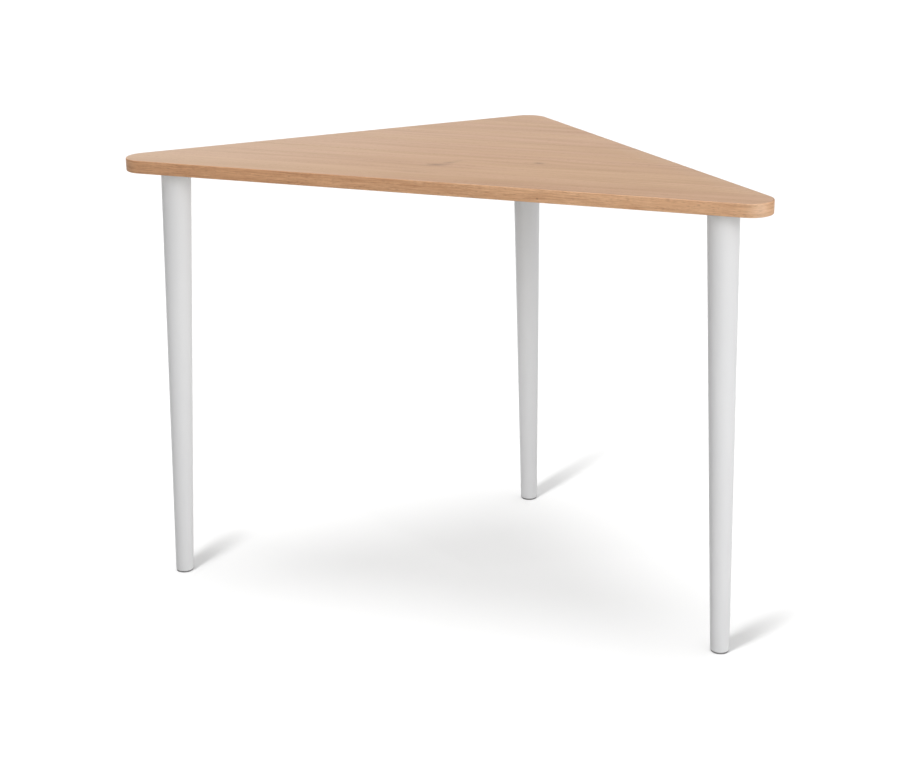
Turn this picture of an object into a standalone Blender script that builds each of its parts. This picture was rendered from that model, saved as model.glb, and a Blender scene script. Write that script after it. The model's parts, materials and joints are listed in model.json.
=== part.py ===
"""Corner table: a right-angled triangular top on three round tapered legs.

X runs along the long front edge, Y from that edge towards the right-angled back
corner, and Z is up. The origin is on the floor, under the middle of the top's box.
All lengths are in metres.
"""

import math

import bmesh
import bpy
from mathutils import Matrix

# The whole table
TABLE_HEIGHT = 0.750
TOP_SIDE_LENGTH = 0.833         # each of the two equal sides, out to the sharp corners
CORNER_RADIUS = 0.0364
CLEARANCE = 0.0003              # between pieces that touch or pass through each other
OVERRUN = 0.005                 # how far a cutter runs past the face that it opens

# The top: a board with a thin sheet on each face and a band round its edge
CORE_THICKNESS = 0.019
FACE_SHEET_THICKNESS = 0.0008
BACKING_SHEET_THICKNESS = 0.0008
EDGE_BAND_THICKNESS = 0.002
EDGE_BAND_ROUNDING = 0.0015

# The legs: straight round tapers that lean outwards, each towards its own corner
LEG_TOP_DIAMETER = 0.0498
LEG_FOOT_DIAMETER = 0.0308
LEG_SPREAD = 0.027              # how far the foot stands outside the leg's top
FRONT_LEG_INSET = 0.0537        # leg's centre to both edges of its corner of the top
BACK_LEG_INSET = 0.042
LEG_ARRIS = 0.0006
FOOT_ROUNDING = 0.0014
LEG_RIM_WIDTH = 0.0042          # wood left round the recess that hides the plate

# The round mounting plate, its threaded collar and the bolt that the leg turns on
PLATE_THICKNESS = 0.0025
PLATE_ARRIS = 0.0004
COLLAR_WALL = 0.0027
COLLAR_HEADROOM = 0.0015        # free height over the collar in its pocket
POCKET_CLEARANCE = 0.0006
WOOD_OVER_POCKET = 0.0065
BOLT_DIAMETER = 0.008
BOLT_DEPTH_IN_LEG = 0.045
BOLT_POINT_LENGTH = 0.006
BOLT_END_CHAMFER = 0.001
BOLT_END_SETBACK = 0.0005       # bolt's upper end below the collar's rim

# The countersunk screws that hold each plate
SCREW_DIAMETER = 0.004
SCREW_HEAD_DIAMETER = 0.0074
SCREW_HEAD_RIM = 0.0004
SCREW_POINT_LENGTH = 0.004
SCREW_RECESS_LENGTH = 0.0042     # across the cross recess in the head
SCREW_RECESS_WIDTH = 0.0011
SCREW_RECESS_DEPTH = 0.0013
SCREW_CLEARANCE = 0.0004
WOOD_OVER_SCREW = 0.007
SCREWS_PER_PLATE = 4

# The glides: plastic discs nailed under the feet
GLIDE_HEIGHT = 0.0022
GLIDE_MARGIN = 0.0012           # glide's edge inside the foot's edge
GLIDE_ROUNDING = 0.0006
NAIL_DIAMETER = 0.0022
NAIL_HEAD_DIAMETER = 0.006
NAIL_HEAD_THICKNESS = 0.0007
NAIL_HEAD_RECESS = 0.0005       # nail's head above the glide's running face
NAIL_DEPTH_IN_LEG = 0.014
NAIL_POINT_LENGTH = 0.003

# How finely round shapes are divided
CORNER_STEP = math.radians(9)
ROUNDING_STEPS = 3
LEG_STEPS = 32
PLATE_STEPS = 24
BOLT_STEPS = 16
SCREW_STEPS = 12
SHARP_ANGLE = math.radians(30)

# Sizes that follow from those above
RIGHT_ANGLE = math.radians(90)
TOP_THICKNESS = (
    CORE_THICKNESS + FACE_SHEET_THICKNESS + BACKING_SHEET_THICKNESS + 2 * CLEARANCE
)
SHEET_INSET = EDGE_BAND_THICKNESS + CLEARANCE
FRONT_HALF_LENGTH = TOP_SIDE_LENGTH / math.sqrt(2)
TOP_DEPTH = FRONT_HALF_LENGTH - (math.sqrt(2) - 1) * CORNER_RADIUS
FRONT_Y = -TOP_DEPTH / 2
UNDERSIDE_Z = TABLE_HEIGHT - TOP_THICKNESS
CORE_BOTTOM = BACKING_SHEET_THICKNESS + CLEARANCE       # above the underside
POCKET_TOP = CORE_BOTTOM + CORE_THICKNESS - WOOD_OVER_POCKET
COLLAR_TOP = POCKET_TOP - COLLAR_HEADROOM
LEAN = LEG_SPREAD / UNDERSIDE_Z
BOLT_RADIUS = BOLT_DIAMETER / 2
COLLAR_RADIUS = BOLT_RADIUS + CLEARANCE + COLLAR_WALL
POCKET_RADIUS = COLLAR_RADIUS + LEAN * COLLAR_TOP + POCKET_CLEARANCE
PLATE_RECESS_RADIUS = LEG_TOP_DIAMETER / 2 - LEG_RIM_WIDTH
PLATE_RADIUS = PLATE_RECESS_RADIUS - CLEARANCE
PLATE_BOTTOM = -CLEARANCE - PLATE_THICKNESS             # below the underside
SCREW_CIRCLE_RADIUS = (PLATE_RADIUS + POCKET_RADIUS) / 2
SCREW_LENGTH = CORE_BOTTOM + CORE_THICKNESS - WOOD_OVER_SCREW - PLATE_BOTTOM
LEG_FOOT_Z = GLIDE_HEIGHT + CLEARANCE - UNDERSIDE_Z     # foot's end below the underside

# The top's corners, counter-clockwise: sharp point, outward direction, half its angle
CORNERS = {
    "left": ((-FRONT_HALF_LENGTH, FRONT_Y), math.radians(202.5), RIGHT_ANGLE / 4),
    "right": ((FRONT_HALF_LENGTH, FRONT_Y), math.radians(-22.5), RIGHT_ANGLE / 4),
    "back": ((0, FRONT_Y + FRONT_HALF_LENGTH), RIGHT_ANGLE, RIGHT_ANGLE / 2),
}
LEG_INSETS = {"left": FRONT_LEG_INSET, "right": FRONT_LEG_INSET, "back": BACK_LEG_INSET}

# Finishes: sRGB colour, roughness and metallic value
FINISHES = {
    "oak_face": ((0.81, 0.69, 0.59), 0.50, 0.0),
    "oak_edge": ((0.75, 0.58, 0.45), 0.50, 0.0),
    "board": ((0.72, 0.60, 0.44), 0.85, 0.0),
    "backing_paper": ((0.80, 0.72, 0.62), 0.60, 0.0),
    "white_lacquer": ((0.90, 0.90, 0.90), 0.35, 0.0),
    "zinc_steel": ((0.72, 0.73, 0.74), 0.35, 1.0),
    "grey_plastic": ((0.45, 0.45, 0.44), 0.50, 0.0),
}


def clear_scene():
    for old in list(bpy.data.objects):
        bpy.data.objects.remove(old, do_unlink=True)


def make_collection(name):
    collection = bpy.data.collections.new(name)
    bpy.context.scene.collection.children.link(collection)
    return collection


def linear(channel):
    """One sRGB channel as the linear value that a shader takes."""
    return channel / 12.92 if channel <= 0.04045 else ((channel + 0.055) / 1.055) ** 2.4


def make_material(name, colour, roughness, metallic):
    material = bpy.data.materials.new(name)
    material.use_nodes = True
    shader = material.node_tree.nodes["Principled BSDF"]
    shader.inputs["Base Color"].default_value = [linear(c) for c in colour] + [1]
    shader.inputs["Roughness"].default_value = roughness
    shader.inputs["Metallic"].default_value = metallic
    return material


def evaluated_mesh(temporary, name):
    """The mesh that an object shows with its modifiers; the object is then removed."""
    graph = bpy.context.evaluated_depsgraph_get()
    mesh = bpy.data.meshes.new_from_object(temporary.evaluated_get(graph))
    mesh.name = name
    bpy.data.objects.remove(temporary, do_unlink=True)
    return mesh


def turned_mesh(name, profile, steps, bored=False):
    """A profile of (radius, height) points turned about Z, as a closed mesh.

    The profile runs down its outer side. It starts and ends on the axis, or closes on
    itself where the piece is bored right through.
    """
    count = len(profile)
    edges = [(i, i + 1) for i in range(count - 1)]
    if bored:
        edges.append((count - 1, 0))
    section = bpy.data.meshes.new(name + "_section")
    section.from_pydata([(radius, 0, height) for radius, height in profile], edges, [])
    lathe = bpy.data.objects.new(name + "_lathe", section)
    bpy.context.scene.collection.objects.link(lathe)
    screw = lathe.modifiers.new("Turn", "SCREW")
    screw.axis = "Z"
    screw.steps = steps
    screw.render_steps = steps
    screw.use_merge_vertices = True
    screw.merge_threshold = CLEARANCE / 10
    mesh = evaluated_mesh(lathe, name)
    mesh.shade_smooth()
    mesh.set_sharp_from_angle(angle=SHARP_ANGLE)
    return mesh


def leaning(mesh):
    """Lean a mesh outwards with the leg; level faces stay level."""
    shear = Matrix.Identity(4)
    shear[0][2] = -LEAN
    mesh.transform(shear)
    return mesh


def rounding(radius, foot, size):
    """Profile points of a rounded lower rim, from the side of the piece to its foot."""
    points = []
    for i in range(ROUNDING_STEPS + 1):
        angle = RIGHT_ANGLE * i / ROUNDING_STEPS
        points.append((
            radius - size + size * math.cos(angle),
            foot + size - size * math.sin(angle),
        ))
    return points


def top_outline(inset):
    """The rounded triangle of the top, drawn in by a distance all round."""
    points = []
    for (x, y), outward, half_angle in CORNERS.values():
        reach = CORNER_RADIUS / math.sin(half_angle)
        centre_x = x - reach * math.cos(outward)
        centre_y = y - reach * math.sin(outward)
        sweep = 2 * (RIGHT_ANGLE - half_angle)
        steps = round(sweep / CORNER_STEP)
        for i in range(steps + 1):
            angle = outward - sweep / 2 + sweep * i / steps
            points.append((
                centre_x + (CORNER_RADIUS - inset) * math.cos(angle),
                centre_y + (CORNER_RADIUS - inset) * math.sin(angle),
            ))
    return points


def slab_mesh(name, inset, thickness):
    """A flat sheet or board of the top's outline, centred on Z = 0."""
    curve = bpy.data.curves.new(name + "_outline", "CURVE")
    curve.dimensions = "2D"
    curve.fill_mode = "BOTH"
    curve.extrude = thickness / 2
    points = top_outline(inset)
    spline = curve.splines.new("POLY")
    spline.points.add(len(points) - 1)
    for point, (x, y) in zip(spline.points, points):
        point.co = (x, y, 0, 1)
    spline.use_cyclic_u = True
    outline = bpy.data.objects.new(name + "_outline", curve)
    bpy.context.scene.collection.objects.link(outline)
    mesh = evaluated_mesh(outline, name)

    work = bmesh.new()
    work.from_mesh(mesh)
    bmesh.ops.remove_doubles(work, verts=work.verts, dist=CLEARANCE / 10)
    bmesh.ops.dissolve_limit(
        work, angle_limit=CORNER_STEP / 10, verts=work.verts, edges=work.edges
    )
    work.to_mesh(mesh)
    work.free()
    return mesh


def add_piece(name, mesh, finish, parent=None, location=(0, 0, 0)):
    """One physical piece of the table, with its finish."""
    piece = bpy.data.objects.new(name, mesh)
    if not mesh.materials:
        mesh.materials.append(materials[finish])
    piece.location = location
    piece.parent = parent
    table.objects.link(piece)
    return piece


def add_cutter(name, mesh, parent=None, location=(0, 0, 0)):
    cutter = bpy.data.objects.new(name, mesh)
    cutter.location = location
    cutter.parent = parent
    cutter.hide_render = True
    cutter.display_type = "WIRE"
    cutters.objects.link(cutter)
    return cutter


def cut(piece, cutter):
    modifier = piece.modifiers.new(cutter.name, "BOOLEAN")
    modifier.operation = "DIFFERENCE"
    modifier.solver = "EXACT"
    modifier.object = cutter


def add_station(corner):
    """An empty at the top end of a leg, with its own +X pointing out to the corner."""
    (x, y), outward, half_angle = CORNERS[corner]
    reach = LEG_INSETS[corner] / math.sin(half_angle)
    station = bpy.data.objects.new(corner + "_station", None)
    station.location = (
        x - reach * math.cos(outward), y - reach * math.sin(outward), UNDERSIDE_Z
    )
    station.rotation_euler = (0, 0, outward)
    table.objects.link(station)
    return station


def screw_places():
    """Centres of a plate's screws, in the station's own axes."""
    for i in range(SCREWS_PER_PLATE):
        angle = 2 * math.pi * (i + 1 / 2) / SCREWS_PER_PLATE
        yield (
            SCREW_CIRCLE_RADIUS * math.cos(angle),
            SCREW_CIRCLE_RADIUS * math.sin(angle),
            PLATE_BOTTOM,
        )


def leg_mesh():
    """Leg with its plate recess and bolt hole above and its nail hole below."""
    top = -CLEARANCE
    recess_floor = PLATE_BOTTOM - CLEARANCE
    bolt_hole = BOLT_RADIUS + CLEARANCE
    bolt_hole_end = recess_floor - BOLT_DEPTH_IN_LEG - CLEARANCE
    nail_hole = NAIL_DIAMETER / 2 + CLEARANCE
    nail_hole_end = LEG_FOOT_Z + NAIL_DEPTH_IN_LEG + CLEARANCE
    top_radius = LEG_TOP_DIAMETER / 2
    return leaning(turned_mesh("leg", [
        (0, bolt_hole_end),
        (bolt_hole, bolt_hole_end),
        (bolt_hole, recess_floor),
        (PLATE_RECESS_RADIUS, recess_floor),
        (PLATE_RECESS_RADIUS, top),
        (top_radius - LEG_ARRIS, top),
        (top_radius, top - LEG_ARRIS),
        *rounding(LEG_FOOT_DIAMETER / 2, LEG_FOOT_Z, FOOT_ROUNDING),
        (nail_hole, LEG_FOOT_Z),
        (nail_hole, nail_hole_end),
        (0, nail_hole_end),
    ], LEG_STEPS))


def plate_mesh():
    """Round plate under the top, with the threaded collar that stands up into it."""
    bore = BOLT_RADIUS + CLEARANCE
    return leaning(turned_mesh("mounting_plate", [
        (bore, COLLAR_TOP),
        (COLLAR_RADIUS, COLLAR_TOP),
        (COLLAR_RADIUS, -CLEARANCE),
        (PLATE_RADIUS, -CLEARANCE),
        (PLATE_RADIUS, PLATE_BOTTOM + PLATE_ARRIS),
        (PLATE_RADIUS - PLATE_ARRIS, PLATE_BOTTOM),
        (bore, PLATE_BOTTOM),
    ], PLATE_STEPS, bored=True))


def bolt_mesh():
    """Hanger bolt: machine thread up into the collar, wood thread down into the leg."""
    top = COLLAR_TOP - BOLT_END_SETBACK
    foot = PLATE_BOTTOM - CLEARANCE - BOLT_DEPTH_IN_LEG
    return leaning(turned_mesh("hanger_bolt", [
        (0, top),
        (BOLT_RADIUS - BOLT_END_CHAMFER, top),
        (BOLT_RADIUS, top - BOLT_END_CHAMFER),
        (BOLT_RADIUS, foot + BOLT_POINT_LENGTH),
        (0, foot),
    ], BOLT_STEPS))


def screw_mesh():
    """Countersunk screw, point up, with its head level with the plate's lower face."""
    head = SCREW_HEAD_DIAMETER / 2
    shank = SCREW_DIAMETER / 2
    blank = bpy.data.objects.new("screw_blank", turned_mesh("screw_blank", [
        (0, SCREW_LENGTH),
        (shank, SCREW_LENGTH - SCREW_POINT_LENGTH),
        (shank, SCREW_HEAD_RIM + head - shank),
        (head, SCREW_HEAD_RIM),
        (head, 0),
        (0, 0),
    ], SCREW_STEPS))
    bpy.context.scene.collection.objects.link(blank)
    slot = bmesh.new()
    bmesh.ops.create_cube(slot, size=1)
    across = (SCREW_RECESS_LENGTH, SCREW_RECESS_WIDTH, 2 * SCREW_RECESS_DEPTH)
    bmesh.ops.scale(slot, vec=across, verts=slot.verts)
    slot_mesh = bpy.data.meshes.new("recess_slot")
    slot.to_mesh(slot_mesh)
    slot.free()
    for name, turn in (("recess_slot_along", 0), ("recess_slot_across", RIGHT_ANGLE)):
        cutter = add_cutter(name, slot_mesh)
        cutter.rotation_euler = (0, 0, turn)
        cut(blank, cutter)
    return evaluated_mesh(blank, "plate_screw")


def screw_hole_mesh():
    """Cutter for all the countersunk holes and pilot holes of one plate."""
    head = SCREW_HEAD_DIAMETER / 2 + SCREW_CLEARANCE
    shank = SCREW_DIAMETER / 2 + SCREW_CLEARANCE
    hole = turned_mesh("screw_hole", [
        (0, SCREW_LENGTH + SCREW_CLEARANCE),
        (shank, SCREW_LENGTH + SCREW_CLEARANCE),
        (shank, SCREW_HEAD_RIM + head - shank),
        (head, SCREW_HEAD_RIM),
        (head, -OVERRUN),
        (0, -OVERRUN),
    ], SCREW_STEPS)
    holes = bmesh.new()
    for place in screw_places():
        start = len(holes.verts)
        holes.from_mesh(hole)
        holes.verts.ensure_lookup_table()
        bmesh.ops.translate(holes, verts=holes.verts[start:], vec=place)
    mesh = bpy.data.meshes.new("screw_holes")
    holes.to_mesh(mesh)
    holes.free()
    return mesh


def pocket_mesh():
    """Cutter for the hole in the backing sheet and the board that takes the collar."""
    return turned_mesh("collar_pocket", [
        (0, POCKET_TOP),
        (POCKET_RADIUS, POCKET_TOP),
        (POCKET_RADIUS, -OVERRUN),
        (0, -OVERRUN),
    ], PLATE_STEPS)


def glide_mesh():
    """Plastic disc under the foot, with a stepped hole for its nail."""
    radius = LEG_FOOT_DIAMETER / 2 - GLIDE_MARGIN
    floor = -UNDERSIDE_Z
    top = floor + GLIDE_HEIGHT
    ledge = floor + NAIL_HEAD_RECESS + NAIL_HEAD_THICKNESS + CLEARANCE
    shank_hole = NAIL_DIAMETER / 2 + CLEARANCE
    head_hole = NAIL_HEAD_DIAMETER / 2 + CLEARANCE
    return leaning(turned_mesh("glide", [
        (shank_hole, top),
        (radius, top),
        *rounding(radius, floor, GLIDE_ROUNDING),
        (head_hole, floor),
        (head_hole, ledge),
        (shank_hole, ledge),
    ], PLATE_STEPS, bored=True))


def nail_mesh():
    """Nail that holds a glide, point up, with its flat head inside the glide."""
    foot = NAIL_HEAD_RECESS - UNDERSIDE_Z
    point = LEG_FOOT_Z + NAIL_DEPTH_IN_LEG
    shank = NAIL_DIAMETER / 2
    head = NAIL_HEAD_DIAMETER / 2
    return leaning(turned_mesh("glide_nail", [
        (0, point),
        (shank, point - NAIL_POINT_LENGTH),
        (shank, foot + NAIL_HEAD_THICKNESS),
        (head, foot + NAIL_HEAD_THICKNESS),
        (head, foot),
        (0, foot),
    ], SCREW_STEPS))


def add_top():
    """The board, its two sheets and its edge band; returns what the fixings cut."""
    board_z = UNDERSIDE_Z + CORE_BOTTOM + CORE_THICKNESS / 2
    core = add_piece(
        "top_core", slab_mesh("top_core", SHEET_INSET, CORE_THICKNESS),
        "board", location=(0, 0, board_z),
    )
    add_piece(
        "face_sheet", slab_mesh("face_sheet", SHEET_INSET, FACE_SHEET_THICKNESS),
        "oak_face", location=(0, 0, TABLE_HEIGHT - FACE_SHEET_THICKNESS / 2),
    )
    backing = add_piece(
        "backing_sheet", slab_mesh("backing_sheet", SHEET_INSET, BACKING_SHEET_THICKNESS),
        "backing_paper", location=(0, 0, UNDERSIDE_Z + BACKING_SHEET_THICKNESS / 2),
    )

    middle = (0, 0, TABLE_HEIGHT - TOP_THICKNESS / 2)
    band = add_piece(
        "edge_band", slab_mesh("edge_band", 0, TOP_THICKNESS), "oak_edge", location=middle
    )
    rims = band.modifiers.new("Rounded rims", "BEVEL")
    rims.limit_method = "ANGLE"
    rims.angle_limit = RIGHT_ANGLE / 2
    rims.width = EDGE_BAND_ROUNDING
    rims.segments = ROUNDING_STEPS
    inside = slab_mesh("band_inside", EDGE_BAND_THICKNESS, TOP_THICKNESS + 2 * OVERRUN)
    cut(band, add_cutter("band_inside", inside, location=middle))
    return [core, backing]


def add_leg_sets(boards):
    """A leg, its fixings and its glide at each corner, with their holes in the top."""
    leg, plate, bolt = leg_mesh(), plate_mesh(), bolt_mesh()
    screw, glide, nail = screw_mesh(), glide_mesh(), nail_mesh()
    pocket, screw_holes = pocket_mesh(), screw_hole_mesh()
    for corner in CORNERS:
        station = add_station(corner)
        add_piece(corner + "_leg", leg, "white_lacquer", station)
        add_piece(corner + "_hanger_bolt", bolt, "zinc_steel", station)
        add_piece(corner + "_glide", glide, "grey_plastic", station)
        add_piece(corner + "_glide_nail", nail, "zinc_steel", station)
        mounting_plate = add_piece(corner + "_mounting_plate", plate, "zinc_steel", station)
        for number, place in enumerate(screw_places(), start=1):
            name = "%s_plate_screw_%d" % (corner, number)
            add_piece(name, screw, "zinc_steel", station, place)

        holes = add_cutter(corner + "_screw_holes", screw_holes, station)
        collar_pocket = add_cutter(corner + "_collar_pocket", pocket, station)
        cut(mounting_plate, holes)
        for board in boards:
            cut(board, collar_pocket)
            cut(board, holes)


clear_scene()
table = make_collection("Corner table")
cutters = make_collection("Cutters")
materials = {name: make_material(name, *values) for name, values in FINISHES.items()}
add_leg_sets(add_top())
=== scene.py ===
# Corner table: an oak-veneered triangular top on three white turned legs, in a white studio
# Metres, X along the front edge, Y towards the back corner, Z up
import json
import math

import bmesh
import bpy
from mathutils import Matrix, Vector


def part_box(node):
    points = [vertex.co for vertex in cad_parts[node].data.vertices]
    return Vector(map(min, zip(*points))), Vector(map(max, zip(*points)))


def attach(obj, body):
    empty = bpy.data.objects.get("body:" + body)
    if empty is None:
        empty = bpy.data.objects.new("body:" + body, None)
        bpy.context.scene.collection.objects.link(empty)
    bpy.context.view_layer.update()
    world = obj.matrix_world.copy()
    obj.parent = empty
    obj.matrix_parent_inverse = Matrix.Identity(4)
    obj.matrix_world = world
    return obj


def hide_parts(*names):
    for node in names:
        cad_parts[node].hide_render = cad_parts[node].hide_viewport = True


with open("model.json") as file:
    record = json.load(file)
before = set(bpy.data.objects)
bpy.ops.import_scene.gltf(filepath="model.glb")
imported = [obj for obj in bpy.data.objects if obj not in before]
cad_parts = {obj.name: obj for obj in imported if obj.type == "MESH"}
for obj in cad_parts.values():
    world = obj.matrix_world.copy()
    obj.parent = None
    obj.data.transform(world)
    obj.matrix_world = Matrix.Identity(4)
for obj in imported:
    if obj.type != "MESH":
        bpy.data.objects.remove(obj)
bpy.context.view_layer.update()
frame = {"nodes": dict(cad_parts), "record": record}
nodes = frame["nodes"]
corners = ("left", "right", "back")
print("frame loaded:", len(nodes), "pieces")


# Shader maths as Python expressions: a Wire is one socket, and its operators add Math nodes
class Wire:
    def __init__(self, finish, socket):
        self.finish = finish
        self.socket = socket

    def math(self, operation, *others, clamp=False):
        settings = {"operation": operation, "use_clamp": clamp}
        inputs = {0: self}
        for slot, other in enumerate(others, start=1):
            inputs[slot] = other
        return self.finish.node("ShaderNodeMath", settings, inputs)

    def __add__(self, other):
        return self.math("ADD", other)

    def __sub__(self, other):
        return self.math("SUBTRACT", other)

    def __mul__(self, other):
        return self.math("MULTIPLY", other)

    def __truediv__(self, other):
        return self.math("DIVIDE", other)

    def __pow__(self, other):
        return self.math("POWER", other)

    def __rsub__(self, other):
        return self.finish.node("ShaderNodeMath", {"operation": "SUBTRACT"}, {0: other, 1: self})

    __radd__ = __add__
    __rmul__ = __mul__


# One material or world: node() adds any node, its settings first and then its sockets
class Finish:
    def __init__(self, name, world=False):
        self.owner = (bpy.data.worlds if world else bpy.data.materials).new(name)
        self.owner.use_nodes = True
        self.tree = self.owner.node_tree
        self.shader = self.tree.nodes["Background" if world else "Principled BSDF"]

    def node(self, kind, settings=None, inputs=None, output=0):
        made = self.tree.nodes.new(kind)
        for key, value in (settings or {}).items():
            setattr(made, key, value)
        for key, value in (inputs or {}).items():
            self.plug(value, made.inputs[key])
        return Wire(self, made.outputs[output])

    def plug(self, value, socket):
        if isinstance(value, Wire):
            self.tree.links.new(value.socket, socket)
        else:
            socket.default_value = value

    def set(self, **sockets):  # the shader's sockets, with _ for a space in the name
        for name, value in sockets.items():
            self.plug(value, self.shader.inputs[name.replace("_", " ")])

    def objectPlace(self):
        return self.node("ShaderNodeTexCoord", output="Object")

    def uvPlace(self, uvMap):
        return self.node("ShaderNodeUVMap", {"uv_map": uvMap})

    def split(self, vector):
        separate = self.tree.nodes.new("ShaderNodeSeparateXYZ")
        self.plug(vector, separate.inputs[0])
        return [Wire(self, separate.outputs[axis]) for axis in range(3)]

    def join(self, x, y, z=0.0):
        return self.node("ShaderNodeCombineXYZ", None, {0: x, 1: y, 2: z})

    def noise(self, x, y, z, detail, roughness=0.5):
        place = self.join(x, y, z)
        inputs = {"Vector": place, "Scale": 1.0, "Detail": detail, "Roughness": roughness}
        return self.node("ShaderNodeTexNoise", None, inputs)

    def grain(self, along, across, layer):  # noise drawn out along the wood
        alongCells, acrossCells, offset, *rest = layer
        return self.noise(along * alongCells, across * acrossCells, offset, *rest)

    def speckle(self, place, layer):  # noise on all three axes
        *cells, detail = layer
        return self.noise(*(axis * count for axis, count in zip(place, cells)), detail)

    def blend(self, factor, first, second, mode="MIX"):  # colours only
        settings = {"data_type": "RGBA", "blend_type": mode}
        inputs = {0: factor, 6: first, 7: second}
        return self.node("ShaderNodeMix", settings, inputs, output=2)

    def remap(self, value, low, high, smooth=True):  # low..high to 0..1, clamped
        settings = {"clamp": True, "interpolation_type": "SMOOTHSTEP" if smooth else "LINEAR"}
        inputs = {"Value": value, "From Min": low, "From Max": high}
        return self.node("ShaderNodeMapRange", settings, inputs)

    def bump(self, height, depth):
        inputs = {"Height": height, "Strength": 1.0, "Distance": depth}
        self.set(Normal=self.node("ShaderNodeBump", None, inputs))


def rgb(red, green, blue):  # an sRGB colour, 0 to 255, as a shader's linear one
    channels = [c / 255 for c in (red, green, blue)]
    return [c / 12.92 if c <= 0.04045 else ((c + 0.055) / 1.055) ** 2.4 for c in channels] + [1]


# Oak veneer on the upper face: grain along X that parts round two small knots, and a painted sheen
# towards the left end
faceLook = {
    "pale": rgb(212, 176, 145),
    "deep": rgb(183, 145, 113),
    "rosy": rgb(202, 162, 137),
    "honey": rgb(201, 165, 131),
    "paintedSheen": rgb(212, 186, 163),     # painted sheen: paler towards the left end
    "line": rgb(162, 123, 94),
    "ray": rgb(224, 194, 164),
    "pore": rgb(140, 102, 74),
    "knot": rgb(104, 84, 70),
    "share": {                       # how much each shows
        "grain": 0.72, "paintedSheen": 0.45, "line": 0.26, "ray": 0.22, "pore": 0.50,
    },
    "paintedSheenFrom": 0.10,               # x where the painted sheen starts, and where it is full
    "paintedSheenTo": -0.60,
    "layers": {                      # cells per metre along and across, offset, detail, roughness
        "wander": (1.4, 2.0, 0.0, 1.0),
        "ripple": (6.0, 14, 5.0, 1.0),
        "ragged": (210, 420, 2.0, 3.0),
        "band": (0.7, 17, 3.0, 2.0),
        "streak": (3.2, 52, 7.0, 3.0, 0.55),
        "thread": (7.0, 190, 9.0, 2.0, 0.6),
        "fibre": (24, 1300, 11.0, 2.0),
        "hue": (1.3, 23, 17.0, 1.0),
        "line": (1.5, 85, 19.0, 2.0),
        "poreRow": (2.4, 120, 29.0, 2.0),
        "pore": (120, 2500, 23.0, 2.0),
        "ray": (90, 1500, 37.0, 1.0),
    },
    "reach": {                       # the stretch of its noise over which each comes in
        "hue": (0.38, 0.62), "tone": (0.37, 0.63), "line": (0.58, 0.72),
        "poreRow": (0.42, 0.60), "pore": (0.55, 0.66), "ray": (0.66, 0.76),
    },
    "tone": (0.26, 0.38, 0.22, 0.14),    # parts of band, streak, thread and fibre
    "wander": 0.014,                 # how far a streak strays over the table's width
    "ripple": 0.0035,                # and over a hand's breadth
    "roughness": 0.56,
    "fibreRoughness": 0.12,
    "poreRoughness": 0.15,
    "gloss": 0.35,
    "relief": 0.00006,               # metres that a pore is deep
    "fibreRelief": 0.4,              # shares of that depth
    "threadRelief": 0.2,
    "knots": (                       # x, y, half length, half width, turn in degrees, depth, pull
        (-0.0215, -0.1655, 0.0160, 0.0070, 12, 0.58, 3.8),
        (-0.0080, -0.1510, 0.0110, 0.0070, 50, 0.40, 0),
        (0.0005, -0.1330, 0.0130, 0.0050, 62, 0.18, 0),
        (0.1320, -0.1065, 0.0080, 0.0058, 0, 0.48, 3.6),
        (-0.0360, -0.2210, 0.0240, 0.0110, 0, 0.10, 2.0),
    ),
    "knotRings": 9,
    "knotRingDepth": 0.16,
    "knotRingRagged": 4,
    "knotEdgeRagged": 1.5,
    "knotFalloff": 0.9,
    "knotParting": 0.7,              # how widely the grain parts round a knot
    "knotPartingLength": 2,          # how many times further it reaches along the grain
}


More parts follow.
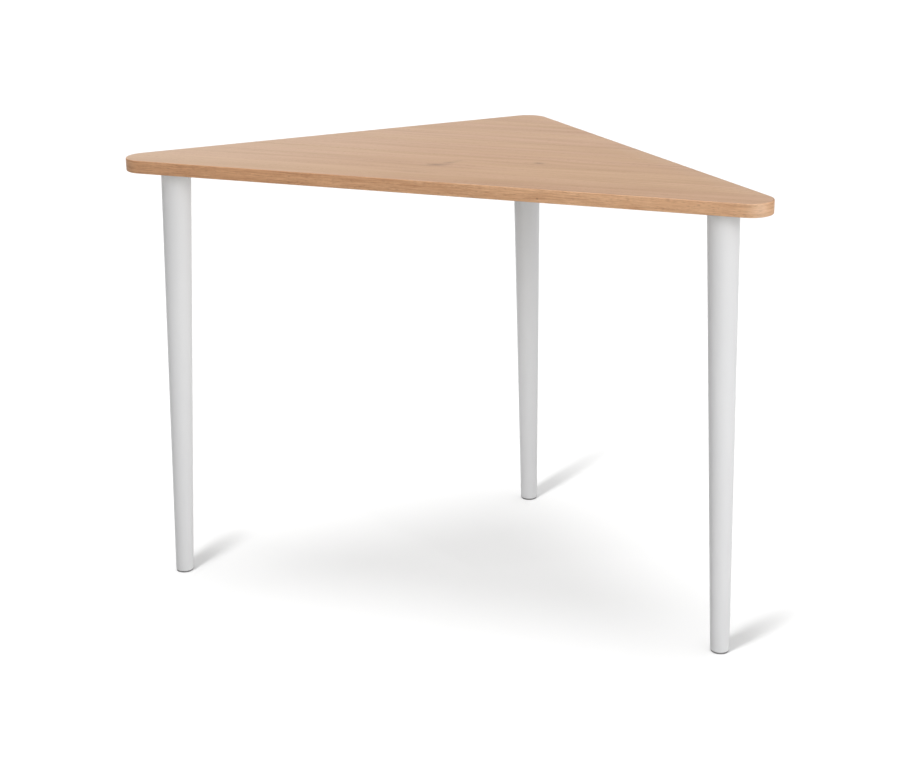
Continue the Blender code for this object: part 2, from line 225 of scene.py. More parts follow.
def makeFaceOak():
    oak = Finish("oakFace")
    layers, reach, share = faceLook["layers"], faceLook["reach"], faceLook["share"]
    x, y = oak.split(oak.objectPlace())[:2]
    y = y + (oak.grain(x, y, layers["wander"]) - 0.5) * faceLook["wander"]
    y = y + (oak.grain(x, y, layers["ripple"]) - 0.5) * faceLook["ripple"]
    ragged = oak.grain(x, y, layers["ragged"]) - 0.5
    ringDepth = faceLook["knotRingDepth"]
    partingLength = faceLook["knotPartingLength"]
    knotShade = 0
    for knotX, knotY, halfLength, halfWidth, turn, depth, pull in faceLook["knots"]:
        right, up = x - knotX, y - knotY
        turned = math.radians(turn)
        along = right * math.cos(turned) + up * math.sin(turned)
        across = up * math.cos(turned) - right * math.sin(turned)
        apart = (along / halfLength) ** 2 + (across / halfWidth) ** 2
        wave = apart ** 0.5 * faceLook["knotRings"] + ragged * faceLook["knotRingRagged"]
        rings = wave.math("SINE") * ringDepth + (1 - ringDepth)
        core = (apart + ragged * faceLook["knotEdgeRagged"]) * -faceLook["knotFalloff"]
        shade = core.math("EXPONENT", clamp=True) * rings * depth
        knotShade = shade.math("MAXIMUM", knotShade)
        if pull:
            near = (right / (halfLength * pull * partingLength)) ** 2 + (up / (halfWidth * pull)) ** 2
            y = up * (1 - (near * -1).math("EXPONENT") * faceLook["knotParting"]) + knotY

    band = oak.grain(x, y, layers["band"])
    streak = oak.grain(x, y, layers["streak"])
    thread = oak.grain(x, y, layers["thread"])
    fibre = oak.grain(x, y, layers["fibre"])
    hue = oak.remap(oak.grain(x, y, layers["hue"]), *reach["hue"])
    lines = oak.remap(oak.grain(x, y, layers["line"]), *reach["line"])
    poreRows = oak.remap(oak.grain(x, y, layers["poreRow"]), *reach["poreRow"])
    pores = oak.remap(oak.grain(x, y, layers["pore"]), *reach["pore"]) * poreRows
    rays = oak.remap(oak.grain(x, y, layers["ray"]), *reach["ray"])
    # painted sheen: the face paler and less saturated towards its left end
    paintedSheenMask = oak.remap(x, faceLook["paintedSheenFrom"], faceLook["paintedSheenTo"])

    parts = faceLook["tone"]
    tone = band * parts[0] + streak * parts[1] + thread * parts[2] + fibre * parts[3]
    tone = oak.remap(tone, *reach["tone"], smooth=False)
    colour = oak.blend(hue, faceLook["rosy"], faceLook["honey"])
    grain = oak.blend(tone, faceLook["deep"], faceLook["pale"])
    colour = oak.blend(share["grain"], colour, grain)
    # the painted sheen blended in
    colour = oak.blend(paintedSheenMask * share["paintedSheen"], colour, faceLook["paintedSheen"])
    colour = oak.blend(lines * share["line"], colour, faceLook["line"])
    colour = oak.blend(rays * share["ray"], colour, faceLook["ray"])
    colour = oak.blend(pores * share["pore"], colour, faceLook["pore"])
    colour = oak.blend(knotShade, colour, faceLook["knot"])
    smoothest = faceLook["roughness"] - faceLook["fibreRoughness"] / 2
    rough = fibre * faceLook["fibreRoughness"] + pores * faceLook["poreRoughness"] + smoothest
    oak.set(Base_Color=colour, Specular_IOR_Level=faceLook["gloss"], Roughness=rough)
    height = fibre * faceLook["fibreRelief"] + thread * faceLook["threadRelief"] - pores
    oak.bump(height, faceLook["relief"])
    return oak.owner


# Oak edging: the same wood, warmer, with grain and short dark pores along the edge, and painted shade
# and a painted highlight
edgeLook = {
    "pale": rgb(230, 185, 144),
    "deep": rgb(186, 137, 99),
    "pore": rgb(118, 78, 50),
    "knot": rgb(112, 76, 54),
    "paintedShade": (0.875, 0.783, 0.711, 1),    # painted shade: a tint, a little darker and redder round the x that follows
    "paintedShadeAt": -0.33,
    "paintedShadeReach": 0.48,
    "paintedHighlight": rgb(222, 194, 166),    # painted highlight: paler round the right corner
    "paintedHighlightAt": 1.110,               # along the edge
    "paintedHighlightReach": 0.030,
    "paintedArrisShade": (0.56, 0.52, 0.48, 1),    # painted shade: a tint, darker along the back sides' upper arris
    "paintedArrisShadeFrom": (0.0190, 0.0205),     # above the lower rim
    "paintedArrisShadeBehind": (-0.27, -0.24),     # y, so not along the front edge
    "share": {"pore": 0.40, "knot": 0.9, "paintedShade": 0.78, "paintedHighlight": 0.30},
    "layers": {                      # cells per metre along and over, offset, detail, roughness
        "wave": (5.0, 14, 1.0, 1.0),
        "band": (2.6, 70, 3.0, 2.0),
        "streak": (20, 480, 5.0, 3.0, 0.55),
        "fibre": (60, 1150, 9.0, 2.0, 0.6),
        "poreRow": (9, 260, 19.0, 1.0),
        "pore": (130, 1900, 15.0, 1.0),
    },
    "reach": {"tone": (0.37, 0.63), "poreRow": (0.32, 0.56), "pore": (0.55, 0.66)},
    "tone": (0.28, 0.42, 0.30),      # parts of band, streak and fibre
    "wave": 0.004,                   # how far the grain strays
    "roughness": 0.52,
    "fibreRoughness": 0.12,
    "poreRoughness": 0.15,
    "gloss": 0.34,
    "relief": 0.0001,                # metres that a pore is deep
    "fibreRelief": 0.4,              # share of that depth
    "knotPlace": (0.7708, 0.0064),   # along the edge and above its lower rim
    "knotSize": (0.0016, 0.0009),
}


def makeEdgeOak():
    oak = Finish("oakEdge")
    layers, reach, share = edgeLook["layers"], edgeLook["reach"], edgeLook["share"]
    x, y = oak.split(oak.objectPlace())[:2]
    along, over = oak.split(oak.uvPlace("edgeRun"))[:2]
    line = over + (oak.grain(along, over, layers["wave"]) - 0.5) * edgeLook["wave"]
    band = oak.grain(along, line, layers["band"])
    streak = oak.grain(along, line, layers["streak"])
    fibre = oak.grain(along, line, layers["fibre"])
    poreRows = oak.remap(oak.grain(along, line, layers["poreRow"]), *reach["poreRow"])
    pores = oak.remap(oak.grain(along, line, layers["pore"]), *reach["pore"]) * poreRows
    knotAlong, knotOver = edgeLook["knotPlace"]
    halfLength, halfWidth = edgeLook["knotSize"]
    apart = ((along - knotAlong) / halfLength) ** 2 + ((over - knotOver) / halfWidth) ** 2
    knot = (apart * -1).math("EXPONENT")
    # painted shade: darker and redder about an x on the front edge
    paintedShade = oak.remap((x - edgeLook["paintedShadeAt"]).math("ABSOLUTE"), edgeLook["paintedShadeReach"], 0.0)
    # painted highlight: paler round the right corner
    away = (along - edgeLook["paintedHighlightAt"]).math("ABSOLUTE")
    paintedHighlight = oak.remap(away, edgeLook["paintedHighlightReach"], 0.0)
    # painted shade: a dark line along the back sides' upper arris
    paintedArrisShade = oak.remap(over, *edgeLook["paintedArrisShadeFrom"]) * oak.remap(y, *edgeLook["paintedArrisShadeBehind"])

    parts = edgeLook["tone"]
    tone = band * parts[0] + streak * parts[1] + fibre * parts[2]
    tone = oak.remap(tone, *reach["tone"], smooth=False)
    colour = oak.blend(tone, edgeLook["deep"], edgeLook["pale"])
    # the painted shade multiplied in
    colour = oak.blend(paintedShade * share["paintedShade"], colour, edgeLook["paintedShade"], "MULTIPLY")
    # the painted highlight blended in
    colour = oak.blend(paintedHighlight * share["paintedHighlight"], colour, edgeLook["paintedHighlight"])
    # the painted arris shade multiplied in
    colour = oak.blend(paintedArrisShade, colour, edgeLook["paintedArrisShade"], "MULTIPLY")
    colour = oak.blend(pores * share["pore"], colour, edgeLook["pore"])
    colour = oak.blend(knot * share["knot"], colour, edgeLook["knot"])
    smoothest = edgeLook["roughness"] - edgeLook["fibreRoughness"] / 2
    rough = fibre * edgeLook["fibreRoughness"] + pores * edgeLook["poreRoughness"] + smoothest
    oak.set(Base_Color=colour, Specular_IOR_Level=edgeLook["gloss"], Roughness=rough)
    oak.bump(fibre * edgeLook["fibreRelief"] - pores, edgeLook["relief"])
    return oak.owner


# Balancing sheet under the board: plain wood foil with a faint even grain
backingLook = {
    "pale": rgb(208, 198, 186),
    "deep": rgb(195, 184, 170),
    "streak": (2.5, 95, 2.0, 3.0),   # cells per metre along and across, offset, detail
    "fine": (14, 900, 4.0, 1.0),
    "tone": (0.6, 0.4),              # parts of streak and fine
    "toneReach": (0.36, 0.64),
    "roughness": 0.6,
    "fineRoughness": 0.1,
    "relief": 0.00003,
}


def makeBacking():
    foil = Finish("backingFoil")
    x, y = foil.split(foil.objectPlace())[:2]
    streak = foil.grain(x, y, backingLook["streak"])
    fine = foil.grain(x, y, backingLook["fine"])
    parts = backingLook["tone"]
    tone = streak * parts[0] + fine * parts[1]
    tone = foil.remap(tone, *backingLook["toneReach"], smooth=False)
    colour = foil.blend(tone, backingLook["deep"], backingLook["pale"])
    rough = fine * backingLook["fineRoughness"] + backingLook["roughness"]
    foil.set(Base_Color=colour, Roughness=rough)
    foil.bump(fine, backingLook["relief"])
    return foil.owner


# Particle board: pressed chips of several browns
boardLook = {
    "pale": rgb(205, 178, 138),
    "deep": rgb(158, 124, 84),
    "chips": (420, 420, 1050),       # per metre: flat chips, so more of them upwards
    "grit": (1500, 1500, 1500, 2.0),     # cells per metre, detail
    "tone": (0.7, 0.3),              # parts of chips and grit
    "height": (0.6, 0.4),            # the same for the relief
    "toneReach": (0.1, 0.9),
    "roughness": 0.85,
    "relief": 0.0002,
}


def makeBoard():
    board = Finish("particleBoard")
    place = board.split(board.objectPlace())
    spot = board.join(*(axis * count for axis, count in zip(place, boardLook["chips"])))
    chips = board.node("ShaderNodeTexVoronoi", None, {"Vector": spot, "Scale": 1.0}, "Color")
    shade, height = board.split(chips)[:2]
    grit = board.speckle(place, boardLook["grit"])
    chipTone, gritTone = boardLook["tone"]
    tone = shade * chipTone + grit * gritTone
    tone = board.remap(tone, *boardLook["toneReach"], smooth=False)
    colour = board.blend(tone, boardLook["deep"], boardLook["pale"])
    board.set(Base_Color=colour, Roughness=boardLook["roughness"])
    chipHeight, gritHeight = boardLook["height"]
    board.bump(height * chipHeight + grit * gritHeight, boardLook["relief"])
    return board.owner


# White satin lacquer on the legs: a slight orange peel and hardly any change of tone
lacquerLook = {
    "white": rgb(231, 231, 231),
    "shade": rgb(226, 226, 227),
    "peel": (420, 420, 420, 1.0),    # cells per metre, detail
    "cloud": (9, 9, 5, 2.0),
    "roughness": 0.42,
    "cloudRoughness": 0.08,
    "gloss": 0.30,
    "relief": 0.00002,
}


def makeLacquer():
    lacquer = Finish("whiteLacquer")
    place = lacquer.split(lacquer.objectPlace())
    peel = lacquer.speckle(place, lacquerLook["peel"])
    cloud = lacquer.speckle(place, lacquerLook["cloud"])
    smoothest = lacquerLook["roughness"] - lacquerLook["cloudRoughness"] / 2
    lacquer.set(
        Base_Color=lacquer.blend(cloud, lacquerLook["shade"], lacquerLook["white"]),
        Roughness=cloud * lacquerLook["cloudRoughness"] + smoothest,
        Specular_IOR_Level=lacquerLook["gloss"],
    )
    lacquer.bump(peel, lacquerLook["relief"])
    return lacquer.owner


# Bright zinc plating on the hidden steel
zincLook = {
    "bright": rgb(205, 208, 212),
    "dull": rgb(176, 178, 180),
    "cloud": (160, 160, 160, 3.0),   # cells per metre, detail
    "scratch": (900, 900, 90, 2.0),
    "roughness": 0.30,
    "scratchRoughness": 0.2,
    "relief": 0.00001,
}


def makeZinc():
    zinc = Finish("zincSteel")
    place = zinc.split(zinc.objectPlace())
    cloud = zinc.speckle(place, zincLook["cloud"])
    scratch = zinc.speckle(place, zincLook["scratch"])
    zinc.set(
        Base_Color=zinc.blend(cloud, zincLook["dull"], zincLook["bright"]),
        Metallic=1.0,
        Roughness=scratch * zincLook["scratchRoughness"] + zincLook["roughness"],
    )
    zinc.bump(scratch, zincLook["relief"])
    return zinc.owner


# Moulded plastic of the glides, scuffed by the floor
plasticLook = {
    "grey": rgb(128, 128, 127),
    "scuffed": rgb(146, 145, 143),
    "grain": (1400, 1400, 1400, 2.0),    # cells per metre, detail
    "scuff": (300, 300, 300, 3.0),
    "scuffReach": (0.5, 0.7),
    "roughness": 0.5,
    "grainRoughness": 0.1,
    "relief": 0.00003,
}


def makePlastic():
    plastic = Finish("glidePlastic")
    place = plastic.split(plastic.objectPlace())
    grain = plastic.speckle(place, plasticLook["grain"])
    scuff = plastic.remap(
        plastic.speckle(place, plasticLook["scuff"]), *plasticLook["scuffReach"]
    )
    plastic.set(
        Base_Color=plastic.blend(scuff, plasticLook["grey"], plasticLook["scuffed"]),
        Roughness=grain * plasticLook["grainRoughness"] + plasticLook["roughness"],
    )
    plastic.bump(grain, plasticLook["relief"])
    return plastic.owner


finishes = {
    "oak_face": makeFaceOak(),
    "oak_edge": makeEdgeOak(),
    "backing_sheet": makeBacking(),
    "particle_board": makeBoard(),
    "white_lacquer": makeLacquer(),
    "zinc_steel": makeZinc(),
    "glide_plastic": makePlastic(),
}
print("finishes made:", len(finishes))


sharpAngle = math.radians(35)    # steeper edges stay crisp
samePlace = 1e-6                 # metres within which two points are one


# A finished bmesh becomes a piece that rides on the table and stands for its CAD nodes
def addPiece(name, bm, slot, *standsFor):
    mesh = bpy.data.meshes.new(name)
    bm.to_mesh(mesh)
    bm.free()
    mesh.shade_smooth()
    mesh.set_sharp_from_angle(angle=sharpAngle)
    mesh.materials.append(finishes[slot])
    piece = bpy.data.objects.new(name, mesh)
    bpy.context.scene.collection.objects.link(piece)
    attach(piece, "root")
    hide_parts(*standsFor)


def centreOf(node):
    low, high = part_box(node)
    return (low + high) / 2


# The top: its outline is three arcs, whose centres follow from the band's box
top = {
    "cornerRadius": 0.0364,
    "arcStep": math.radians(3),
    "bandThickness": 0.002,
    "bandRounding": 0.0015,
    "roundingSegments": 5,
    "jointGap": 0.00005,     # between the band and the face sheet
    "sheetArris": 0.00012,
    "sheetSegments": 2,
}
bandLow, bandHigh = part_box("edge_band")
radius = top["cornerRadius"]
arcs = (  # centre, first direction, sweep
    (Vector((bandLow.x + radius, bandLow.y + radius, 0)), math.radians(135), math.radians(135)),
    (Vector((bandHigh.x - radius, bandLow.y + radius, 0)), math.radians(270), math.radians(135)),
    (Vector((0, bandHigh.y - radius, 0)), math.radians(45), math.radians(90)),
)


def heading(angle):
    return Vector((math.cos(angle), math.sin(angle), 0))


def outlineFace(bm, inset, height):  # the rounded triangle, drawn in by inset, facing up
    ends = []
    for centre, first, sweep in arcs:
        level = centre + Vector((0, 0, height))
        start = bm.verts.new(level + heading(first) * (radius - inset))
        spun = bmesh.ops.spin(
            bm, geom=[start], cent=level, axis=(0, 0, 1), angle=sweep,
            steps=round(sweep / top["arcStep"]), use_merge=False, use_duplicate=False,
        )
        last = [v for v in spun["geom_last"] if isinstance(v, bmesh.types.BMVert)][0]
        ends.append((start, last))
    for (start, last), following in zip(ends, ends[1:] + ends[:1]):
        bm.edges.new((last, following[0]))
    made = bmesh.ops.contextual_create(bm, geom=bm.edges[:])
    face = made["faces"][0]
    face.normal_update()
    if face.normal.z < 0:
        face.normal_flip()
    return face


def slab(inset, low, high):  # a plate of that outline between two heights
    bm = bmesh.new()
    face = outlineFace(bm, inset, low)
    face.normal_flip()
    raised = bmesh.ops.extrude_face_region(bm, geom=[face], use_keep_orig=True)
    lifted = [v for v in raised["geom"] if isinstance(v, bmesh.types.BMVert)]
    bmesh.ops.translate(bm, verts=lifted, vec=(0, 0, high - low))
    bmesh.ops.recalc_face_normals(bm, faces=bm.faces)
    return bm


def levelFace(bm, height):  # the flat face that spans the whole top at a height
    flat = [f for f in bm.faces if abs(f.calc_center_median().z - height) < samePlace]
    return max(flat, key=lambda f: f.calc_area())


def levelEdges(bm, height):
    return [e for e in bm.edges if all(abs(v.co.z - height) < samePlace for v in e.verts)]


def roundEdges(bm, edges, size, segments):
    bmesh.ops.bevel(
        bm, geom=edges, offset=size, offset_type="OFFSET", segments=segments,
        profile=0.5, affect="EDGES", material=-1, clamp_overlap=True,
    )


def edgeRun(point):  # distance along the outline and inwards from it, and the whole outline
    flat = Vector((point.x, point.y, 0))
    passed = 0
    best = None
    for number, (centre, first, sweep) in enumerate(arcs):
        away = flat - centre
        turn = (math.atan2(away.y, away.x) - first) % (2 * math.pi)
        if turn > math.pi + sweep / 2:  # nearer the arc's start than its end
            turn -= 2 * math.pi
        turn = min(max(turn, 0), sweep)
        onArc = centre + heading(first + turn) * radius
        tries = [(onArc, passed + radius * turn)]
        passed += radius * sweep
        leave = centre + heading(first + sweep) * radius
        nextCentre, nextFirst = arcs[(number + 1) % len(arcs)][:2]
        arrive = nextCentre + heading(nextFirst) * radius
        run = arrive - leave
        share = min(max((flat - leave).dot(run) / run.length_squared, 0), 1)
        tries.append((leave + run * share, passed + run.length * share))
        passed += run.length
        for place, distance in tries:
            inwards = (flat - place).length
            if best is None or inwards < best[1]:
                best = (distance, inwards)
    return best[0], best[1], passed


def makeEdgeBand():
    low, high = bandLow.z, bandHigh.z
    bm = slab(0, low, high)
    rims = levelEdges(bm, low) + levelEdges(bm, high)
    roundEdges(bm, rims, top["bandRounding"], top["roundingSegments"])
    flats = [levelFace(bm, low), levelFace(bm, high)]
    bmesh.ops.inset_individual(
        bm, faces=flats, thickness=top["bandThickness"] - top["bandRounding"],
        use_even_offset=True,
    )
    inner = [levelFace(bm, low), levelFace(bm, high)]
    loops = [e for f in inner for e in f.edges]
    bmesh.ops.delete(bm, geom=inner, context="FACES_ONLY")
    bmesh.ops.bridge_loops(bm, edges=loops)
    bmesh.ops.recalc_face_normals(bm, faces=bm.faces)

    uv = bm.loops.layers.uv.new("edgeRun")  # along the band and up it, in metres
    middle = (low + high) / 2
    for face in bm.faces:
        runs = []
        for loop in face.loops:
            distance, inwards, whole = edgeRun(loop.vert.co)
            side = 1 if loop.vert.co.z > middle else -1
            runs.append((loop, distance, loop.vert.co.z - low + side * inwards))
        distances = [distance for loop, distance, over in runs]
        crossing = max(distances) - min(distances) > whole / 2  # over the outline's start
        for loop, distance, over in runs:
            if crossing and distance < whole / 2:
                distance += whole
            loop[uv].uv = (distance, over)
    addPiece("edgeBand", bm, "oak_edge", "edge_band")


def makeFaceSheet():
    low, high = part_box("face_sheet")
    bm = slab(top["bandThickness"] + top["jointGap"], low.z, high.z)
    roundEdges(bm, levelEdges(bm, high.z), top["sheetArris"], top["sheetSegments"])
    addPiece("faceSheet", bm, "oak_face", "face_sheet")


makeEdgeBand()
makeFaceSheet()
print("top made")


turnedMiss = 1e-5    # metres by which a turned ring may miss its radius or height


# Turned pieces: a profile of (radius, height) points spun about Z
def turned(profile, steps):
    bm = bmesh.new()
    verts = [bm.verts.new((r, 0, z)) for r, z in profile]
    edges = [bm.edges.new(pair) for pair in zip(verts, verts[1:])]
    bmesh.ops.spin(
        bm, geom=verts + edges, cent=(0, 0, 0), axis=(0, 0, 1), angle=2 * math.pi,
        steps=steps, use_merge=True, use_duplicate=False,
    )
    bmesh.ops.remove_doubles(bm, verts=bm.verts, dist=samePlace)
    bmesh.ops.recalc_face_normals(bm, faces=bm.faces)
    return bm


def rim(bm, r, z):  # the ring of edges at a radius and height
    def on(vert):
        aside = math.hypot(vert.co.x, vert.co.y) - r
        return max(abs(aside), abs(vert.co.z - z)) < turnedMiss
    return [e for e in bm.edges if on(e.verts[0]) and on(e.verts[1])]


# Legs: straight tapers, with the plate's recess above and the nail's hole below
leg = {
    "steps": 96,
    "footDiameter": 0.0308,
    "topArris": 0.0006,
    "topSegments": 3,
    "footRounding": 0.0014,
    "footSegments": 5,
    "rimWidth": 0.0042,      # wood left round the recess
    "boltHole": 0.0043,      # radii
    "nailHole": 0.0014,
    "boltDepth": 0.0453,
    "nailDepth": 0.0143,
    "gap": 0.0003,           # under the plate
    "plateScrews": 4,
}
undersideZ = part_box("backing_sheet")[0].z


def legStation(corner):  # centre of a leg's top end, and the centre of its foot
    screws = ["%s_plate_screw_%d" % (corner, n + 1) for n in range(leg["plateScrews"])]
    heads = [centreOf(screw) for screw in screws]
    station = sum(heads, Vector()) / len(heads)
    station.z = undersideZ
    foot = centreOf(corner + "_glide")
    foot.z = 0
    return station, foot


def leanOnto(bm, corner):  # from upright under the origin to its place under the top
    station, foot = legStation(corner)
    lean = Matrix.Identity(4)
    lean[0][2] = (foot.x - station.x) / -undersideZ
    lean[1][2] = (foot.y - station.y) / -undersideZ
    bmesh.ops.transform(bm, matrix=Matrix.Translation(station) @ lean, verts=bm.verts)


def makeLeg(corner):
    low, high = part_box(corner + "_leg")
    backLow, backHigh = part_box("back_leg")  # it leans along Y alone, so its width is a leg's
    topRadius = (backHigh.x - backLow.x) / 2
    footRadius = leg["footDiameter"] / 2
    topZ = high.z - undersideZ
    footZ = low.z - undersideZ
    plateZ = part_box(corner + "_mounting_plate")[0].z - undersideZ - leg["gap"]
    recess = topRadius - leg["rimWidth"]
    bm = turned([
        (0, plateZ - leg["boltDepth"]),
        (leg["boltHole"], plateZ - leg["boltDepth"]),
        (leg["boltHole"], plateZ),
        (recess, plateZ),
        (recess, topZ),
        (topRadius, topZ),
        (footRadius, footZ),
        (leg["nailHole"], footZ),
        (leg["nailHole"], footZ + leg["nailDepth"]),
        (0, footZ + leg["nailDepth"]),
    ], leg["steps"])
    roundEdges(bm, rim(bm, topRadius, topZ), leg["topArris"], leg["topSegments"])
    roundEdges(bm, rim(bm, footRadius, footZ), leg["footRounding"], leg["footSegments"])
    leanOnto(bm, corner)
    addPiece(corner + "Leg", bm, "white_lacquer", corner + "_leg")


# Glides: flat discs under the feet, each with a stepped hole for its nail
glide = {
    "steps": 64,
    "margin": 0.0012,
    "rounding": 0.0006,
    "roundingSegments": 4,
    "shankHole": 0.0014,     # radii of the nail's hole
    "headHole": 0.0033,
    "ledge": 0.0015,         # height of the step between them
}


def makeGlide(corner):
    low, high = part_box(corner + "_glide")
    outer = leg["footDiameter"] / 2 - glide["margin"]
    foot, head = low.z - undersideZ, high.z - undersideZ
    ledge = foot + glide["ledge"]
    bm = turned([
        (glide["shankHole"], head),
        (outer, head),
        (outer, foot),
        (glide["headHole"], foot),
        (glide["headHole"], ledge),
        (glide["shankHole"], ledge),
        (glide["shankHole"], head),
    ], glide["steps"])
    roundEdges(bm, rim(bm, outer, foot), glide["rounding"], glide["roundingSegments"])
    leanOnto(bm, corner)
    addPiece(corner + "Glide", bm, "glide_plastic", corner + "_glide")


for corner in corners:
    makeLeg(corner)
    makeGlide(corner)
print("legs and glides made")


# The CAD nodes that stay take the finish of their slot
for entry in frame["record"]["subparts"]:
    node = nodes[entry["node"]]
    node.data.materials.clear()
    node.data.materials.append(finishes[entry["material_slot"]])
print("fixings finished")


# The camera stands in front and to the right, as the photographer's did
view = {
    "place": (0.97182, -2.84784, 1.36652),
    "yaw": 19.988,       # degrees to the left of +Y
    "pitch": 19.098,     # degrees down
    "roll": -0.584,
    "lens": 72.086,
    "sensor": 36,        # millimetres, as the lens
    "farthest": 100,     # metres that it sees
}
camera = bpy.data.objects.new("camera", bpy.data.cameras.new("camera"))
camera.data.sensor_width = view["sensor"]
camera.data.lens = view["lens"]
camera.data.clip_end = view["farthest"]
camera.matrix_world = (
    Matrix.Translation(view["place"])
    @ Matrix.Rotation(math.radians(view["yaw"]), 4, "Z")
    @ Matrix.Rotation(math.radians(90 - view["pitch"]), 4, "X")
    @ Matrix.Rotation(math.radians(view["roll"]), 4, "Z")
)
bpy.context.scene.collection.objects.link(camera)
bpy.context.scene.camera = camera


# White studio: the camera sees a white floor and world, the table sees them as plain light
studio = {
    "floorMiddle": (0, -0.07),
    "floorThirds": {"left": 210, "right": 330, "back": 90},    # azimuth of each third's middle
    "thirdHalf": 60,         # degrees
    "floorSize": 40.0,       # metres from the middle to its corners
    "floorBounce": 0.361,    # how much light the floor throws back at the table
    "floorShade": 0.55,      # how strongly shadows show on it
    "floorGlow": 0.200,      # brings the unshaded floor up to white
    "worldWhite": 1.12,      # as the camera sees it
    "worldGloss": 1.00,      # as it is reflected
    "worldLight": 0.48,
    "worldLean": 0.75,       # share by which it is brighter towards worldAzimuth
    "worldAzimuth": -15,
    "tableLamp": (315, 86.7, 22, 1.29),    # azimuth, elevation, width in degrees, strength
    "shadeLamp": (225, 88.9, 27, 1.66),    # the same, for the shadow under the table
    "distantAway": 5,        # only their direction counts
    "strips": {              # the shadow beside each foot: azimuth, lowest and highest elevation
        "left": (263, 75.1, 86.9),
        "right": (245, 72.2, 86.7),
        "back": (256, 63.1, 84.5),
    },
    "stripAway": 150,        # metres
    "stripWidth": 2.8,       # degrees
    "stripStrength": 2.12,   # watts per square metre of floor
    "softboxes": {           # place, target, size, watts, pieces left out or lit alone
        "frontSoftbox": (
            (2.1, -2.5, 1.85), (0, 0, 0.40), 1.8, 38.5, "EXCLUDE", ("backLeg", "faceSheet"),
        ),
        "backSoftbox": ((-1.5, 2.6, 2.2), (-0.1, 0, 0.50), 1.8, 34, "EXCLUDE", ("faceSheet",)),
        "faceFill": ((-1.4, -0.2, 1.9), (-0.3, -0.1, 0.75), 1.2, 5, "INCLUDE", ("faceSheet",)),
        "backLegFill": ((0.3, -2.3, 1.9), (0, 0.27, 0.30), 1.7, 37, "INCLUDE", ("backLeg",)),
        "leftLegFill": ((0.55, 0, 0.62), (-0.48, -0.24, 0.60), 0.3, 0.75, "INCLUDE", ("leftLeg",)),
        "rightFootFill": (
            (0.30, -0.45, 0.03), (0.49, -0.25, 0.04), 0.1, 0.05, "INCLUDE", ("rightLeg",),
        ),
        "cornerGlint": ((3.4, -1.1, 0.32), (0.53, -0.27, 0.74), 1.1, 64, "INCLUDE", ("edgeBand",)),
        "arrisGlint": ((0.45, -0.4, 1.05), (0.5, -0.29, 0.75), 0.12, 2, "INCLUDE", ("edgeBand",)),
    },
    "glossOnly": ("cornerGlint", "arrisGlint"),    # seen as reflections, and light nothing
}


def makeFloorWhite():
    white = Finish("floorWhite")
    white.tree.nodes.remove(white.shader)
    seen = white.node("ShaderNodeLightPath", output="Is Camera Ray").math(
        "MAXIMUM", white.node("ShaderNodeLightPath", output="Is Glossy Ray")
    )
    bounce, shade = ([studio[key]] * 3 + [1] for key in ("floorBounce", "floorShade"))
    matt = white.node("ShaderNodeBsdfDiffuse", None, {"Color": white.blend(seen, bounce, shade)})
    glow = white.node("ShaderNodeEmission", None, {"Strength": seen * studio["floorGlow"]})
    both = white.node("ShaderNodeAddShader", None, {0: matt, 1: glow})
    white.plug(both, white.tree.nodes["Material Output"].inputs["Surface"])
    return white.owner


def makeFloor(corner, white):  # the third of the floor that lies round one foot
    azimuth = studio["floorThirds"][corner]
    middle = Vector((*studio["floorMiddle"], 0))
    bm = bmesh.new()
    places = [middle]
    for side in (-studio["thirdHalf"], studio["thirdHalf"]):
        places.append(middle + heading(math.radians(azimuth + side)) * studio["floorSize"])
    bmesh.ops.contextual_create(bm, geom=[bm.verts.new(place) for place in places])
    for face in bm.faces:
        face.normal_update()
        if face.normal.z < 0:
            face.normal_flip()
    mesh = bpy.data.meshes.new(corner + "Floor")
    bm.to_mesh(mesh)
    bm.free()
    mesh.materials.append(white)
    floor = bpy.data.objects.new(corner + "Floor", mesh)
    bpy.context.scene.collection.objects.link(floor)
    return floor


def makeWorld():  # brighter towards the right
    sky = Finish("studio", world=True)
    bpy.context.scene.world = sky.owner
    right, back = sky.split(sky.node("ShaderNodeTexCoord", output="Generated"))[:2]
    turn = math.radians(studio["worldAzimuth"])
    facing = right * math.cos(turn) + back * math.sin(turn)
    light = (facing * studio["worldLean"] + 1) * studio["worldLight"]
    seen = sky.node("ShaderNodeLightPath", output="Is Camera Ray")
    glossed = sky.node("ShaderNodeLightPath", output="Is Glossy Ray")
    white = seen * studio["worldWhite"] + glossed * studio["worldGloss"]
    sky.set(Color=(1, 1, 1, 1), Strength=light * (1 - seen - glossed) + white)


def addLamp(name, lamp, place, target):
    holder = bpy.data.objects.new(name, lamp)
    holder.location = place
    aim = Vector(target) - Vector(place)
    holder.rotation_euler = aim.to_track_quat("-Z", "Y").to_euler()
    bpy.context.scene.collection.objects.link(holder)
    return holder


def skyward(azimuth, elevation):  # a direction, from its angles in degrees
    up = math.radians(elevation)
    return heading(math.radians(azimuth)) * math.cos(up) + Vector((0, 0, math.sin(up)))


def addDistantLamp(name, azimuth, elevation, width, strength):
    lamp = bpy.data.lights.new(name, "SUN")
    lamp.angle = math.radians(width)
    lamp.energy = strength
    place = skyward(azimuth, elevation) * studio["distantAway"]
    return addLamp(name, lamp, place, (0, 0, 0))


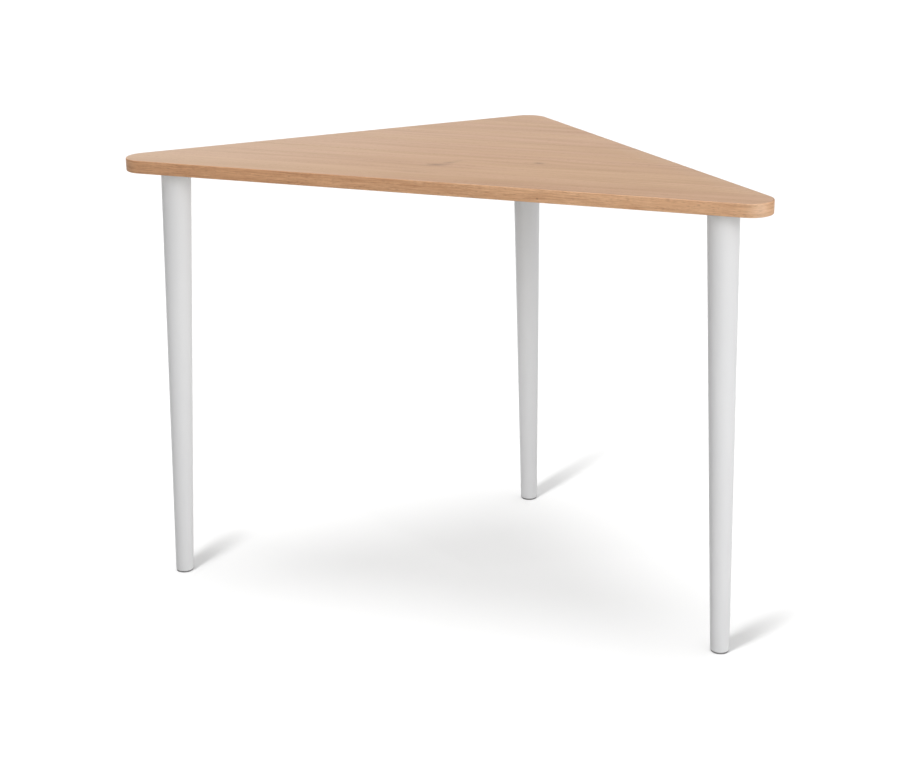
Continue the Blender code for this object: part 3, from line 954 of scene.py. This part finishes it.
def lampGroup(name, members, state="INCLUDE"):
    group = bpy.data.collections.new(name)
    for member in members:
        group.objects.link(member)
    for link in group.collection_objects:
        link.light_linking.link_state = state
    return group


def addStrip(corner, floor):  # a long far lamp, whose shadow of one leg fades with its length
    azimuth, lowest, highest = studio["strips"][corner]
    towards = skyward(azimuth, (lowest + highest) / 2)
    away = studio["stripAway"]
    station, foot = legStation(corner)
    lean = (station - foot) / undersideZ
    aim = foot + Vector((lean.x, lean.y, 0)) * (towards.z * away)  # so the lean doesn't turn it
    lamp = bpy.data.lights.new(corner + "Strip", "AREA")
    lamp.shape = "RECTANGLE"
    lamp.size = away * math.radians(studio["stripWidth"])
    lamp.size_y = away * math.radians(highest - lowest)
    lamp.energy = studio["stripStrength"] * math.pi * away ** 2 / towards.z
    linking = addLamp(lamp.name, lamp, aim + towards * away, aim).light_linking
    shades = [bpy.data.objects[corner + "Leg"], bpy.data.objects[corner + "Glide"]]
    linking.receiver_collection = lampGroup(corner + "StripLights", [floor])
    linking.blocker_collection = lampGroup(corner + "StripShades", shades)


def makeLamps(floors):
    tableLamp = addDistantLamp("tableLamp", *studio["tableLamp"])
    tableLamp.light_linking.receiver_collection = lampGroup("notFloor", floors, "EXCLUDE")
    shadeLamp = addDistantLamp("shadeLamp", *studio["shadeLamp"])
    shadeLamp.light_linking.receiver_collection = lampGroup("onlyFloor", floors)
    for corner, floor in zip(corners, floors):
        addStrip(corner, floor)

    for name, (place, target, size, watts, state, members) in studio["softboxes"].items():
        lamp = bpy.data.lights.new(name, "AREA")
        lamp.size = size
        lamp.energy = watts
        linked = [bpy.data.objects[m] for m in members] + (floors if state == "EXCLUDE" else [])
        holder = addLamp(name, lamp, place, target)
        holder.light_linking.receiver_collection = lampGroup(name + "Group", linked, state)
        holder.visible_diffuse = name not in studio["glossOnly"]


makeWorld()
floorWhite = makeFloorWhite()
makeLamps([makeFloor(corner, floorWhite) for corner in corners])
bpy.context.scene.view_settings.view_transform = "Standard"
print("studio made")
